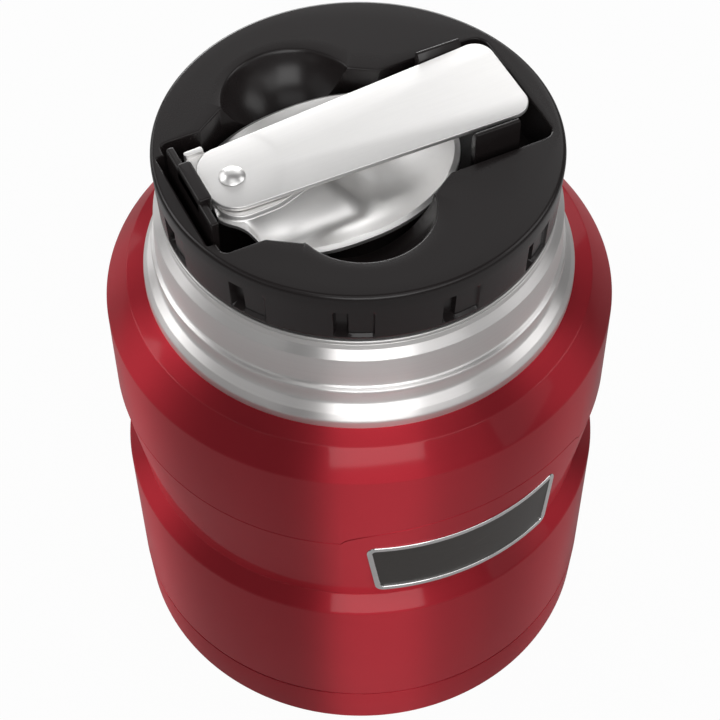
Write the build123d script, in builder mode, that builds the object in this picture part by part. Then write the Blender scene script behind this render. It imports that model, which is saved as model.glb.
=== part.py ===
from build123d import *
import os
from math import cos, radians, sin, sqrt

# Insulated food jar, open, with its folding spoon stowed in the top of the screw stopper.
# Millimetres. The origin is the centre of the base, +Z is up, the spoon lies along X
# and the badge faces -Y.
os.makedirs("parts", exist_ok=True)

# ---------------------------------------------------------------- jar outside
body_radius = 47.0          # straight band under the shoulder
waist_depth = 3.1           # how far the waist groove goes in from the band
lower_inset = 0.2           # the lower cylinder is this much smaller than the band
lower_draft = 0.27          # and narrows this much more down to the seam
base_draft = 0.5            # the base cup narrows again to the floor
seam_z = 10.9               # joint between base cup and outer shell
seam_gap = 0.3
flare_z = 42.2              # top of the lower cylinder
flare_rise = 2.8            # height of the slope that rises to the waist
taper_rise = 22.0           # from the waist up to the crease
band_height = 18.6          # from the crease up to the shoulder
shoulder_in = 4.1           # shoulder chamfer, inwards
shoulder_rise = 5.1         # shoulder chamfer, upwards
land_width = 3.4            # flat ring between the shoulder and the neck
land_rise = 1.0
shell_wall = 0.7
base_fillet = 1.4
cup_gap = 0.1               # base cup to the shell's stepped-in end
flare_fillet = 0.9

# badge on the flattened part of the taper
facet_rise = 3.9            # the flattened area starts this far above the crease
facet_shift = 3.5           # its axis lies this far behind the jar's axis
badge_angle = 0.4           # about Z, from -Y
badge_top_width = 40.8
badge_bottom_width = 36.8
badge_height = 14.0
badge_above_waist = 5.4     # from the waist to its lower edge
badge_sink = 0.4            # its face lies this far inside the band's radius
badge_border = 1.1
badge_recess = 0.35         # the inlay lies this deep in the frame
badge_corner = 1.8
badge_inlay_gap = 0.05      # inlay to frame, all round

# ---------------------------------------------------------------- neck
flange_width = 2.6          # neck wall out to the edge of the flange
neck_height = 18.3          # land to lip
lip_width = 1.2
lip_height = 0.8
mouth_wall = 2.8            # mouth radius to the outside of the neck
bevel_drop = 2.0            # lip top to the start of the bevel
bevel_height = 1.5
groove_rise = 8.5           # land to the fine groove
bead_radius = 0.75
flare_height = 3.6          # land to the start of the flange's curve
collar_wall = 0.6
groove_depth = 0.3
flange_edge = 0.8
flange_round = 0.9          # how far the flange's curve stands inside its edge

# ---------------------------------------------------------------- vacuum wall
liner_wall = 0.6
vacuum_gap = 1.2            # at the waist, where it is least
liner_floor_z = 8.2
liner_corner = 9.0
seat_drop = 15.8            # lip top to the start of the gasket seat
seat_in = 2.2               # how far the seat goes in
seat_height = 3.3
throat_height = 1.2
tail_inset = 1.6            # the shell steps in by this to carry the base cup
tail_z = 3.2
plate_thickness = 0.8
plate_skirt = 2.2
port_radius = 0.8           # evacuation port
cup_wall = 0.9
cup_floor_z = 1.2
foot_width = 3.4
foil_gap = 0.2
foil_thickness = 0.2
foil_margin = 6.0           # liner left bare above and below the foil
getter_radius = 7.0
getter_rim = 0.9
getter_height = 1.8
getter_x = 18.0
seal_radius = 2.2
seal_height = 0.7

# ---------------------------------------------------------------- stopper
cap_overhang = 0.55         # top edge beyond the steel lip
cap_height = 11.5
cap_gap = 0.3               # under the cap, above the lip
cap_fillet = 0.9
cap_ring = 4.8              # thickness of the ring that holds the grip windows
top_plate = 1.9
window_count = 12
window_start = 3.0
window_width = 6.7
window_height = 6.4
window_z = 1.5              # above the lip to the window's lower edge
window_depth = 1.0
window_turn = 9.0
plug_gap = 1.5              # plug to mouth, where the two threads mesh
plug_wall = 1.8
plug_depth = 24.0           # under the lip
plug_fillet = 3.0
gasket_clearance = 0.3
gasket_side_gap = 1.0       # gasket to mouth, where the threads must pass
gasket_chamfer = 1.0
gasket_height = 2.5
gasket_width = 1.8
foam_clearance = 0.3

# spoon pocket in the stopper
pocket_wall = 1.6
slot_end_wall = 4.5         # slot end to the outside of the cap
slot_half_width = 13.9
slot_corner = 2.6
cheek_half_width = 17.3     # where the slot widens for the bowl
cheek_from_heel = 9.85      # from the bowl's ends to the widest part
cheek_from_tip = 12.95
cheek_slope = 5.2
lobe_x = -6.0
lobe_y = 14.3
lobe_radius = 12.4
lobe_depth = 9.0

# spring latch at the rivet end, and two side clips
latch_slit = 1.4
latch_wall = 1.4
latch_half_width = 9.8
latch_above_cap = 2.9
nose_half_width = 4.8
nose_above_cap = 3.8
nose_height = 3.0
nose_gap = 0.3
nose_reach = 1.35           # latch wall to the handle's end
clip_from_tip = 3.9         # clips to the handle's free end
clip_length = 8.8
clip_wall = 1.6
clip_gap = 0.35
clip_crest = 0.2
handle_taper_play = 0.15    # the handle is this much narrower where the clips stand
clip_above_cap = 3.8
clip_lead = 1.3

# ---------------------------------------------------------------- spoon
rivet_from_slot = 7.8       # slot end to the rivet
handle_end_gap = 2.0        # handle to the other end of the slot
handle_tail = 5.2           # rivet to the latch end
handle_root_width = 14.3
handle_tip_width = 19.6
handle_thickness = 1.0
handle_tail_corner = 5.4
handle_tip_corner = 3.6
handle_tilt = 1.95
handle_above_cap = 1.75     # its top face at the rivet
rivet_radius = 1.6
rivet_head_radius = 2.3
rivet_head_height = 0.95
rivet_play = 0.05
head_gap = 0.1
pad_gap = 0.15              # handle to the pad under it
sheet = 0.9                 # thickness of the spoon's steel
pad_margin = 1.4            # pad beyond the handle's sides
pad_corner = 5.4
pad_shoulder = 3.0          # rivet to where its sides draw in
pad_shoulder_round = 8.0
pad_tongue = 12.0           # rivet to the tongue's end
pad_tongue_half_width = 4.6
pad_tongue_round = 3.4
pad_flank_run = 13.0        # its flanks fall away by the drop over this run
pad_flank_drop = 13.0
tab_gap = 0.85              # stop tab to the handle's side
tab_wall = 1.1
tab_length = 3.4
tab_above_pad = 0.95
bowl_tip_gap = 13.0         # bowl to the end of the slot
bowl_heel_gap = 3.1         # bowl to the other end
bowl_half_width = 17.3
bowl_depth = 9.5
bowl_below_cap = 4.5
bowl_tilt = -1.95
cradle_gap = 0.8

# ---------------------------------------------------------------- places that follow
waist_radius = body_radius - waist_depth
lower_radius = body_radius - lower_inset
seam_radius = lower_radius - lower_draft
base_radius = seam_radius - base_draft
waist_z = flare_z + flare_rise
crease_z = waist_z + taper_rise
shoulder_z = crease_z + band_height
land_outer_radius = body_radius - shoulder_in
land_outer_z = shoulder_z + shoulder_rise
flange_radius = land_outer_radius - land_width
land_z = land_outer_z + land_rise
neck_radius = flange_radius - flange_width
lip_z = land_z + neck_height
mouth_radius = neck_radius - mouth_wall
lip_radius = mouth_radius + lip_width
liner_radius = waist_radius - shell_wall - vacuum_gap
seat_z = lip_z - seat_drop
throat_radius = mouth_radius - seat_in
throat_z = seat_z - seat_height
tail_radius = seam_radius - tail_inset
cap_radius = lip_radius + cap_overhang
cap_bottom_z = lip_z + cap_gap
cap_top_z = cap_bottom_z + cap_height
plug_radius = mouth_radius - plug_gap
plug_bottom_z = lip_z - plug_depth
slot_x = cap_radius - slot_end_wall
slot_floor_z = cap_bottom_z + pocket_wall
slot_depth = cap_top_z - slot_floor_z
rivet_x = rivet_from_slot - slot_x
rivet_z = cap_top_z + handle_above_cap
handle_reach = slot_x - handle_end_gap - rivet_x
bowl_left_x = bowl_heel_gap - slot_x
bowl_right_x = slot_x - bowl_tip_gap
bowl_x = (bowl_left_x + bowl_right_x) / 2
bowl_half_length = (bowl_right_x - bowl_left_x) / 2
rim_z = cap_top_z - bowl_below_cap


def shifted(points, wall):
    """The outline moved sideways by the wall, to its left, with its corners kept sharp."""
    lines = []
    for (r0, z0), (r1, z1) in zip(points, points[1:]):
        length = sqrt((r1 - r0) ** 2 + (z1 - z0) ** 2)
        step = Vector(-(z1 - z0) * wall / length, (r1 - r0) * wall / length)
        lines.append((Vector(r0, z0) + step, Vector(r1 - r0, z1 - z0)))
    moved = [lines[0][0]]
    for (start_a, along_a), (start_b, along_b) in zip(lines, lines[1:]):
        cross = along_a.X * along_b.Y - along_a.Y * along_b.X
        gap = start_b - start_a
        share = (gap.X * along_b.Y - gap.Y * along_b.X) / cross
        moved.append(start_a + along_a * share)
    moved.append(lines[-1][0] + lines[-1][1])
    return [(p.X, p.Y) for p in moved]


def turned_wall(points, wall):
    """A thin wall turned about Z, with the given outline as its outside."""
    with BuildPart() as turned:
        with BuildSketch(Plane.XZ):
            with BuildLine():
                Polyline(points + shifted(points, wall)[::-1], close=True)
            make_face()
        revolve(axis=Axis.Z)
    return turned.part


def turned_solid(points):
    """A solid turned about Z from an outline, closed along the axis."""
    bottom = (0, points[0][1])
    top = (0, points[-1][1])
    with BuildPart() as turned:
        with BuildSketch(Plane.XZ):
            with BuildLine():
                Polyline([bottom] + points + [top], close=True)
            make_face()
        revolve(axis=Axis.Z)
    return turned.part


# ---------------------------------------------------------------- outer shell
shell_outline = [
    (tail_radius, tail_z),
    (tail_radius, seam_z + seam_gap),
    (seam_radius, seam_z + seam_gap),
    (lower_radius, flare_z),
    (waist_radius, waist_z),
    (body_radius, crease_z),
    (body_radius, shoulder_z),
    (land_outer_radius, land_outer_z),
    (flange_radius, land_z),
]
facet_waist_radius = waist_radius + facet_shift
facet_slope = (body_radius - waist_radius) / (taper_rise + facet_rise)
facet_top_z = lip_z
facet_top_radius = facet_waist_radius + facet_slope * (facet_top_z - waist_z)
clear_of_facet = body_radius + 2 * facet_shift


def facet_body(inset):
    """All that lies behind the flattened area of the taper, for the wall's outside or inside."""
    shift_back = Plane((-facet_shift * sin(radians(badge_angle)), facet_shift * cos(radians(badge_angle)), 0))
    outline = [
        (clear_of_facet, 0),
        (clear_of_facet, waist_z),
        (facet_waist_radius - inset, waist_z),
        (facet_top_radius - inset, facet_top_z),
    ]
    return shift_back * turned_solid(outline)


shell_inner_outline = shifted(shell_outline, shell_wall)
shell_inner_outline[0] = (shell_inner_outline[0][0], 0)
shell_inner_outline[-1] = (flange_radius, shell_inner_outline[-1][1])
shell_inner_outline.append((flange_radius, facet_top_z))
with BuildPart() as shell_form:
    add(turned_solid(shell_outline))
    round_edges = shell_form.edges().filter_by(GeomType.CIRCLE)
    fillet(round_edges.filter_by_position(Axis.Z, flare_z - shell_wall, flare_z + shell_wall), flare_fillet)
    add(facet_body(0), mode=Mode.INTERSECT)

with BuildPart() as shell_hollow:
    add(turned_solid(shell_inner_outline))
    add(facet_body(shell_wall), mode=Mode.INTERSECT)

with BuildPart() as outer_shell:
    add(shell_form.part)
    add(shell_hollow.part, mode=Mode.SUBTRACT)
outer_shell.part.label = "outer_shell"
export_step(outer_shell.part, "parts/outer_shell.step")

# ---------------------------------------------------------------- base cup, vacuum plate, seal, getter
cup_inner_radius = tail_radius + cup_gap
with BuildPart() as base_cup:
    with BuildSketch(Plane.XZ):
        with BuildLine():
            Polyline(
                (0, cup_floor_z),
                (base_radius - foot_width, cup_floor_z),
                (base_radius - foot_width, 0),
                (base_radius, 0),
                (seam_radius, seam_z),
                (cup_inner_radius, seam_z),
                (cup_inner_radius, cup_floor_z + cup_wall),
                (0, cup_floor_z + cup_wall),
                close=True,
            )
        make_face()
    revolve(axis=Axis.Z)
    floor_edge = base_cup.edges().filter_by(GeomType.CIRCLE).group_by(Axis.Z)[0].sort_by(SortBy.RADIUS)[-1]
    fillet(floor_edge, base_fillet)
base_cup.part.label = "base_cup"
export_step(base_cup.part, "parts/base_cup.step")

plate_radius = tail_radius - shell_wall
with BuildPart() as vacuum_plate:
    with BuildSketch(Plane.XY.offset(tail_z)):
        Circle(plate_radius)
    extrude(amount=plate_skirt)
    with BuildSketch(Plane.XY.offset(tail_z + plate_thickness)):
        Circle(plate_radius - plate_thickness)
    extrude(amount=plate_skirt, mode=Mode.SUBTRACT)
    with Locations((0, 0, tail_z)):
        Cylinder(port_radius, 2 * plate_skirt, mode=Mode.SUBTRACT)
vacuum_plate.part.label = "vacuum_plate"
export_step(vacuum_plate.part, "parts/vacuum_plate.step")

with BuildPart() as vacuum_seal:
    with BuildSketch(Plane.XY.offset(tail_z - seal_height)):
        Circle(seal_radius)
    extrude(amount=seal_height)
    fillet(vacuum_seal.edges().group_by(Axis.Z)[0], seal_height / 2)
    with BuildSketch(Plane.XY.offset(tail_z)):
        Circle(port_radius)
    extrude(amount=plate_thickness)
vacuum_seal.part.label = "vacuum_seal"
export_step(vacuum_seal.part, "parts/vacuum_seal.step")

with BuildPart() as getter:
    with BuildSketch(Plane.XY.offset(tail_z + plate_thickness)):
        with Locations((getter_x, 0)):
            Circle(getter_radius)
    extrude(amount=getter_height)
    with BuildSketch(Plane.XY.offset(tail_z + plate_thickness + getter_height)):
        with Locations((getter_x, 0)):
            Circle(getter_radius - getter_rim)
    extrude(amount=-getter_height / 2, mode=Mode.SUBTRACT)
getter.part.label = "getter"
export_step(getter.part, "parts/getter.step")

# ---------------------------------------------------------------- liner and foil
liner_outline = [
    (0, liner_floor_z - liner_wall),
    (liner_radius - liner_corner, liner_floor_z - liner_wall),
    (liner_radius, liner_floor_z - liner_wall + liner_corner),
    (liner_radius, shoulder_z - shell_wall - liner_wall - vacuum_gap),
    (throat_radius + liner_wall, throat_z - throat_height - liner_wall),
    (throat_radius + liner_wall, throat_z),
    (mouth_radius + liner_wall, seat_z),
    (mouth_radius + liner_wall, lip_z),
]
liner_top_z = liner_outline[3][1]
with BuildPart() as inner_vessel:
    add(turned_wall(liner_outline, liner_wall))
    with BuildSketch(Plane.XY.offset(lip_z - lip_height)):
        Circle(lip_radius)
        Circle(mouth_radius, mode=Mode.SUBTRACT)
    extrude(amount=lip_height)
    lip_edges = inner_vessel.edges().filter_by(GeomType.CIRCLE).group_by(Axis.Z)[-1]
    fillet(lip_edges, lip_height / 3)
inner_vessel.part.label = "inner_vessel"
export_step(inner_vessel.part, "parts/inner_vessel.step")

with BuildPart() as radiation_foil:
    with BuildSketch(Plane.XY.offset(liner_floor_z + liner_corner + foil_margin)):
        Circle(liner_radius + foil_gap + foil_thickness)
        Circle(liner_radius + foil_gap, mode=Mode.SUBTRACT)
    extrude(amount=liner_top_z - liner_floor_z - liner_corner - 2 * foil_margin)
radiation_foil.part.label = "radiation_foil"
export_step(radiation_foil.part, "parts/radiation_foil.step")

# ---------------------------------------------------------------- bare steel neck collar
groove_z = land_z + groove_rise
bead_z = groove_z - 2 * bead_radius
flare_top_z = land_z + flare_height
collar_inner_radius = mouth_radius + liner_wall
flange_top_z = land_z + flange_edge
with BuildPart() as neck_collar:
    with BuildSketch(Plane.XZ):
        with BuildLine():
            Polyline(
                (collar_inner_radius, lip_z - lip_height),
                (lip_radius, lip_z - lip_height),
                (lip_radius, lip_z - bevel_drop),
                (neck_radius - groove_depth, lip_z - bevel_drop - bevel_height),
                (neck_radius, groove_z),
                (neck_radius - groove_depth, groove_z - groove_depth),
                (neck_radius, groove_z - 2 * groove_depth),
            )
            ThreePointArc(
                (neck_radius, groove_z - 2 * groove_depth),
                (neck_radius + bead_radius, bead_z),
                (neck_radius + groove_depth, bead_z - bead_radius),
            )
            Polyline(
                (neck_radius + groove_depth, bead_z - bead_radius),
                (neck_radius + groove_depth, flare_top_z),
            )
            ThreePointArc(
                (neck_radius + groove_depth, flare_top_z),
                (flange_radius - flange_round, (flare_top_z + flange_top_z) / 2 + groove_depth),
                (flange_radius, flange_top_z),
            )
            Polyline(
                (flange_radius, flange_top_z),
                (flange_radius, land_z - shell_wall),
                (flange_radius - flange_edge, land_z - shell_wall),
                (flange_radius - flange_edge, flange_top_z - collar_wall / 2),
                (neck_radius - collar_wall, flare_top_z - collar_wall),
                (neck_radius - collar_wall, lip_z - bevel_drop - bevel_height - collar_wall),
                (collar_inner_radius, lip_z - bevel_drop - bevel_height + collar_wall),
                (collar_inner_radius, lip_z - lip_height),
            )
        make_face()
    revolve(axis=Axis.Z)
neck_collar.part.label = "neck_collar"
export_step(neck_collar.part, "parts/neck_collar.step")

# ---------------------------------------------------------------- badge
badge_face_radius = body_radius - badge_sink
badge_plane = Plane(
    origin=(0, 0, waist_z + badge_above_waist + badge_height / 2),
    x_dir=(cos(radians(badge_angle)), sin(radians(badge_angle)), 0),
    z_dir=(sin(radians(badge_angle)), -cos(radians(badge_angle)), 0),
)


def badge_block(border, face_radius):
    """A curved plate with the badge's outline, drawn in by the border, out to a radius."""
    half_top = badge_top_width / 2
    half_bottom = badge_bottom_width / 2
    half_height = badge_height / 2
    with BuildPart() as block:
        with BuildSketch(badge_plane):
            with BuildLine():
                Polyline(
                    (-half_bottom, -half_height),
                    (half_bottom, -half_height),
                    (half_top, half_height),
                    (-half_top, half_height),
                    close=True,
                )
            badge_face = make_face()
            fillet(badge_face.vertices(), badge_corner)
            if border > 0:
                offset(amount=-border, mode=Mode.REPLACE)
        extrude(amount=clear_of_facet)
        with BuildSketch(Plane.XY):
            Circle(face_radius)
        extrude(amount=lip_z, mode=Mode.INTERSECT)
        add(shell_form.part, mode=Mode.SUBTRACT)
    return block.part


with BuildPart() as badge_inlay:
    add(badge_block(badge_border + badge_inlay_gap, badge_face_radius - badge_recess))
badge_inlay.part.label = "badge_inlay"
export_step(badge_inlay.part, "parts/badge_inlay.step")

with BuildPart() as badge_frame:
    add(badge_block(0, badge_face_radius))
    add(badge_block(badge_border, body_radius), mode=Mode.SUBTRACT)
badge_frame.part.label = "badge_frame"
export_step(badge_frame.part, "parts/badge_frame.step")

# ---------------------------------------------------------------- spoon bowl
rim_plane = Plane(
    origin=(bowl_x, 0, rim_z),
    x_dir=(cos(radians(bowl_tilt)), 0, -sin(radians(bowl_tilt))),
    z_dir=(sin(radians(bowl_tilt)), 0, cos(radians(bowl_tilt))),
)
side_plane = Plane(origin=rim_plane.origin, x_dir=rim_plane.x_dir, z_dir=(0, -1, 0))
bowl_arc_radius = (bowl_half_length ** 2 + bowl_depth ** 2) / (2 * bowl_depth)
bowl_axis_height = (bowl_half_width ** 2 - bowl_depth ** 2) / (2 * bowl_depth)
bowl_axis = Axis(rim_plane.from_local_coords((0, 0, bowl_axis_height)), rim_plane.x_dir)


def bowl_form(gap):
    """The bowl's outer form under its rim plane, grown by a gap: an arc turned about an axis above it."""
    with BuildPart() as form:
        with BuildSketch(side_plane):
            with Locations((0, bowl_arc_radius - bowl_depth)):
                Circle(bowl_arc_radius + gap)
            with Locations((0, sheet - bowl_arc_radius)):
                Rectangle(4 * bowl_half_length, 2 * bowl_arc_radius, mode=Mode.INTERSECT)
        revolve(axis=bowl_axis)
        split(bisect_by=rim_plane, keep=Keep.BOTTOM)
    return form.part


handle_plane = Plane(
    origin=(rivet_x, 0, rivet_z),
    x_dir=(cos(radians(handle_tilt)), 0, sin(radians(handle_tilt))),
    z_dir=(-sin(radians(handle_tilt)), 0, cos(radians(handle_tilt))),
)
pad_top = -handle_thickness - pad_gap
pad_half_width = handle_root_width / 2 + pad_margin
pad_side_plane = Plane(origin=handle_plane.origin, x_dir=handle_plane.x_dir, z_dir=(0, -1, 0))


def pad_outline(height, grow):
    """The pad in plan at a height from the handle's plane: wide at the rivet, with a tongue into the bowl."""
    lean = (pad_half_width - pad_tongue_half_width) / (pad_tongue - pad_shoulder)
    stretch = sqrt(1 + lean ** 2)
    tail_x = -handle_tail - grow
    shoulder_x = pad_shoulder + grow * (stretch - 1) / lean
    tongue_x = pad_tongue + grow
    tongue_y = pad_tongue_half_width + grow * (stretch - lean)
    side_y = pad_half_width + grow
    with BuildSketch(handle_plane.offset(height)) as outline:
        with BuildLine():
            Polyline(
                (tail_x, -side_y),
                (shoulder_x, -side_y),
                (tongue_x, -tongue_y),
                (tongue_x, tongue_y),
                (shoulder_x, side_y),
                (tail_x, side_y),
                close=True,
            )
        make_face()
        fillet(outline.vertices().sort_by(Axis.X)[2:4], pad_shoulder_round + grow)
        fillet(outline.vertices().sort_by(Axis.X)[:2], pad_corner + grow)
        fillet(outline.vertices().sort_by(Axis.X)[-2:], pad_tongue_round + grow)
    return outline.sketch


def pad_form(inset):
    """The raised pad under the handle, whose flanks run down into the bowl, drawn in by the sheet."""
    top = pad_top - inset
    foot = top - pad_flank_drop
    with BuildPart() as form:
        add(pad_outline(top, -inset / 2))
        add(pad_outline(foot, pad_flank_run - inset / 2))
        loft(ruled=True)
        add(pad_outline(foot, pad_flank_run - inset / 2))
        extrude(amount=-bowl_depth)
    return form.part


with BuildPart() as heel_limit:
    # straight up from the rim, and from the pad's own outline where that lies outside the rim
    rim_face = bowl_form(0).faces().filter_by(GeomType.PLANE).sort_by(Axis.Z)[-1]
    extrude(rim_face, amount=2 * bowl_depth)
    add(pad_outline(pad_top, 0))
    extrude(amount=-2 * bowl_depth)

with BuildPart() as spoon_bowl:
    add(pad_form(0))
    add(heel_limit.part, mode=Mode.INTERSECT)
    add(bowl_form(0))
    # nothing of the pad hangs under the bowl, or under the rim beyond the bowl
    with BuildPart(mode=Mode.PRIVATE) as under_rim:
        with BuildSketch(rim_plane):
            Rectangle(6 * bowl_half_length, 6 * bowl_half_width)
        extrude(amount=-4 * bowl_depth)
        add(bowl_form(0), mode=Mode.SUBTRACT)
    add(under_rim.part, mode=Mode.SUBTRACT)
    # the sheet follows the outside: take out the bowl's inside above it, then the pad's inside
    with BuildPart(mode=Mode.PRIVATE) as bowl_inside:
        add(bowl_form(-sheet))
        add(pad_form(0), mode=Mode.SUBTRACT)
    add(bowl_inside.part, mode=Mode.SUBTRACT)
    add(pad_form(sheet), mode=Mode.SUBTRACT)
    # upturned tab that stops the handle when it is folded out
    tab_y = handle_root_width / 2 + tab_gap
    with BuildSketch(handle_plane.offset(pad_top - sheet)):
        with Locations((tab_length / 2 - handle_tail, tab_y / 2 + tab_wall / 2)):
            Rectangle(tab_length, tab_y + tab_wall)
    extrude(amount=sheet)
    with BuildSketch(handle_plane.offset(pad_top - sheet)):
        with Locations((tab_length / 2 - handle_tail, tab_y + tab_wall / 2)):
            Rectangle(tab_length, tab_wall)
    extrude(amount=sheet + tab_above_pad)
    with Locations(handle_plane):
        Cylinder(rivet_radius, 4 * bowl_depth, mode=Mode.SUBTRACT)
spoon_bowl.part.label = "spoon_bowl"
export_step(spoon_bowl.part, "parts/spoon_bowl.step")

# ---------------------------------------------------------------- spoon handle and rivet
with BuildPart() as spoon_handle:
    with BuildSketch(handle_plane) as handle_plan:
        with BuildLine():
            Polyline(
                (-handle_tail, -handle_root_width / 2),
                (handle_reach, -handle_tip_width / 2),
                (handle_reach, handle_tip_width / 2),
                (-handle_tail, handle_root_width / 2),
                close=True,
            )
        make_face()
        fillet(handle_plan.vertices().sort_by(Axis.X)[:2], handle_tail_corner)
        fillet(handle_plan.vertices().sort_by(Axis.X)[-2:], handle_tip_corner)
        Circle(rivet_radius + rivet_play, mode=Mode.SUBTRACT)
    extrude(amount=-handle_thickness)
spoon_handle.part.label = "spoon_handle"
export_step(spoon_handle.part, "parts/spoon_handle.step")

head_dome_radius = (rivet_head_radius ** 2 + rivet_head_height ** 2) / (2 * rivet_head_height)
rivet_foot = pad_top - sheet
with BuildPart() as spoon_rivet:
    with BuildSketch(pad_side_plane):
        with BuildLine():
            ThreePointArc(
                (0, head_gap + rivet_head_height),
                (
                    head_dome_radius * sin(radians(30)),
                    head_gap + rivet_head_height - head_dome_radius * (1 - cos(radians(30))),
                ),
                (rivet_head_radius, head_gap),
            )
            Polyline(
                (rivet_head_radius, head_gap),
                (rivet_radius, head_gap),
                (rivet_radius, rivet_foot),
                (rivet_head_radius, rivet_foot),
                (rivet_head_radius, rivet_foot - sheet / 2),
                (0, rivet_foot - sheet / 2),
                (0, head_gap + rivet_head_height),
            )
        make_face()
    revolve(axis=Axis(handle_plane.origin, handle_plane.z_dir))
spoon_rivet.part.label = "spoon_rivet"
export_step(spoon_rivet.part, "parts/spoon_rivet.step")

# ---------------------------------------------------------------- stopper cap
lobe_sphere_radius = (lobe_radius ** 2 + lobe_depth ** 2) / (2 * lobe_depth)
lobe_centre_z = cap_top_z + lobe_sphere_radius - lobe_depth
cheek_start_x = bowl_left_x + cheek_from_heel
cheek_end_x = bowl_right_x - cheek_from_tip


def pocket_form(grow):
    """The hollow for the spoon: slot with cheeks, two finger scoops and the bowl's cradle."""
    with BuildPart() as form:
        with BuildSketch(Plane.XY.offset(slot_floor_z - grow)) as plan:
            RectangleRounded(2 * slot_x, 2 * slot_half_width, slot_corner)
            for side in (1, -1):
                with BuildLine():
                    Polyline(
                        (cheek_start_x - cheek_slope, side * slot_half_width),
                        (cheek_start_x, side * cheek_half_width),
                        (cheek_end_x, side * cheek_half_width),
                        (cheek_end_x + cheek_slope, side * slot_half_width),
                        (cheek_end_x + cheek_slope, 0),
                        (cheek_start_x - cheek_slope, 0),
                        close=True,
                    )
                make_face()
            if grow > 0:
                offset(amount=grow, mode=Mode.REPLACE)
        extrude(amount=slot_depth + grow)
        with Locations((lobe_x, lobe_y, lobe_centre_z), (lobe_x, -lobe_y, lobe_centre_z)):
            Sphere(lobe_sphere_radius + grow)
        add(bowl_form(cradle_gap + grow))
    return form.part


nose_x = rivet_x - handle_tail - nose_gap
latch_x = rivet_x - handle_tail - nose_reach
slit_x = latch_x - latch_wall - latch_slit
with BuildPart() as stopper_cap:
    with BuildSketch(Plane.XZ):
        with BuildLine():
            Polyline(
                (0, cap_bottom_z),
                (lip_radius, cap_bottom_z),
                (cap_radius, cap_top_z),
                (0, cap_top_z),
                close=True,
            )
        make_face()
    revolve(axis=Axis.Z)
    fillet(stopper_cap.edges().filter_by(GeomType.CIRCLE).group_by(Axis.Z)[-1], cap_fillet)
    with BuildSketch(Plane.XY.offset(cap_bottom_z)):
        Circle(cap_radius - cap_ring)
    extrude(amount=cap_height - top_plate, mode=Mode.SUBTRACT)
    with BuildPart(mode=Mode.PRIVATE) as pocket_walls:
        add(pocket_form(pocket_wall))
        with BuildSketch(Plane.XY.offset(plug_bottom_z)):
            Circle(cap_radius - cap_ring)
        extrude(amount=cap_top_z - plug_bottom_z, mode=Mode.INTERSECT)
    add(pocket_walls.part)
    with BuildSketch(Plane.XY.offset(slot_floor_z)):
        with Locations(((slit_x + latch_x) / 2, 0)):
            Rectangle(latch_x - slit_x, 2 * latch_half_width + 2 * latch_slit)
    extrude(amount=2 * slot_depth, mode=Mode.SUBTRACT)
    add(pocket_form(0), mode=Mode.SUBTRACT)
    with PolarLocations(cap_radius, window_count, start_angle=window_start):
        with Locations((0, 0, lip_z + window_z + window_height / 2)):
            Box(
                2 * window_depth + cap_overhang,
                window_width,
                window_height,
                rotation=(0, 0, -window_turn),
                mode=Mode.SUBTRACT,
            )
    # spring latch: a wall that stands free of the rim, with a nose over the spoon's end
    with BuildSketch(Plane.XY.offset(slot_floor_z)):
        with Locations((latch_x - latch_wall / 2, 0)):
            Rectangle(latch_wall, 2 * latch_half_width)
    extrude(amount=slot_depth + latch_above_cap)
    with BuildSketch(Plane.XY.offset(cap_top_z + nose_above_cap)):
        with Locations(((latch_x - latch_wall + nose_x) / 2, 0)):
            Rectangle(nose_x - latch_x + latch_wall, 2 * nose_half_width)
    extrude(amount=-nose_height)
    # side clips with a lead-in slope towards the handle
    clip_y = handle_tip_width / 2 - handle_taper_play + clip_gap
    clip_x = rivet_x + handle_reach - clip_from_tip - clip_length
    with BuildSketch(Plane.YZ.offset(clip_x)):
        for side in (1, -1):
            with BuildLine():
                Polyline(
                    (side * clip_y, slot_floor_z),
                    (side * clip_y, cap_top_z + clip_above_cap - clip_lead),
                    (side * (clip_y + clip_wall - clip_crest), cap_top_z + clip_above_cap),
                    (side * (clip_y + clip_wall), cap_top_z + clip_above_cap),
                    (side * (clip_y + clip_wall), slot_floor_z),
                    close=True,
                )
            make_face()
    extrude(amount=clip_length)
stopper_cap.part.label = "stopper_cap"
export_step(stopper_cap.part, "parts/stopper_cap.step")

# ---------------------------------------------------------------- stopper plug, foam and gasket
seat_slope = seat_in / seat_height
gasket_radius = mouth_radius - gasket_side_gap
gasket_inner_radius = gasket_radius - gasket_width
gasket_low_radius = gasket_radius - gasket_chamfer
gasket_top_z = seat_z
groove_radius = gasket_inner_radius - gasket_clearance
plug_low_radius = throat_radius - gasket_clearance
groove_top_z = gasket_top_z + gasket_clearance
groove_bottom_z = gasket_top_z - gasket_height - gasket_clearance
with BuildPart() as stopper_plug:
    with BuildSketch(Plane.XZ):
        with BuildLine():
            Polyline(
                (0, plug_bottom_z),
                (plug_low_radius, plug_bottom_z),
                (plug_low_radius, groove_bottom_z),
                (groove_radius, groove_bottom_z),
                (groove_radius, groove_top_z),
                (plug_radius, groove_top_z),
                (plug_radius, cap_bottom_z),
                (plug_radius - plug_wall, cap_bottom_z),
                (plug_radius - plug_wall, groove_top_z + plug_wall),
                (groove_radius - plug_wall, groove_top_z),
                (groove_radius - plug_wall, plug_bottom_z + plug_wall),
                (0, plug_bottom_z + plug_wall),
                close=True,
            )
        make_face()
    revolve(axis=Axis.Z)
    fillet(stopper_plug.edges().filter_by(GeomType.CIRCLE).group_by(Axis.Z)[0], plug_fillet)
stopper_plug.part.label = "stopper_plug"
export_step(stopper_plug.part, "parts/stopper_plug.step")

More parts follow.
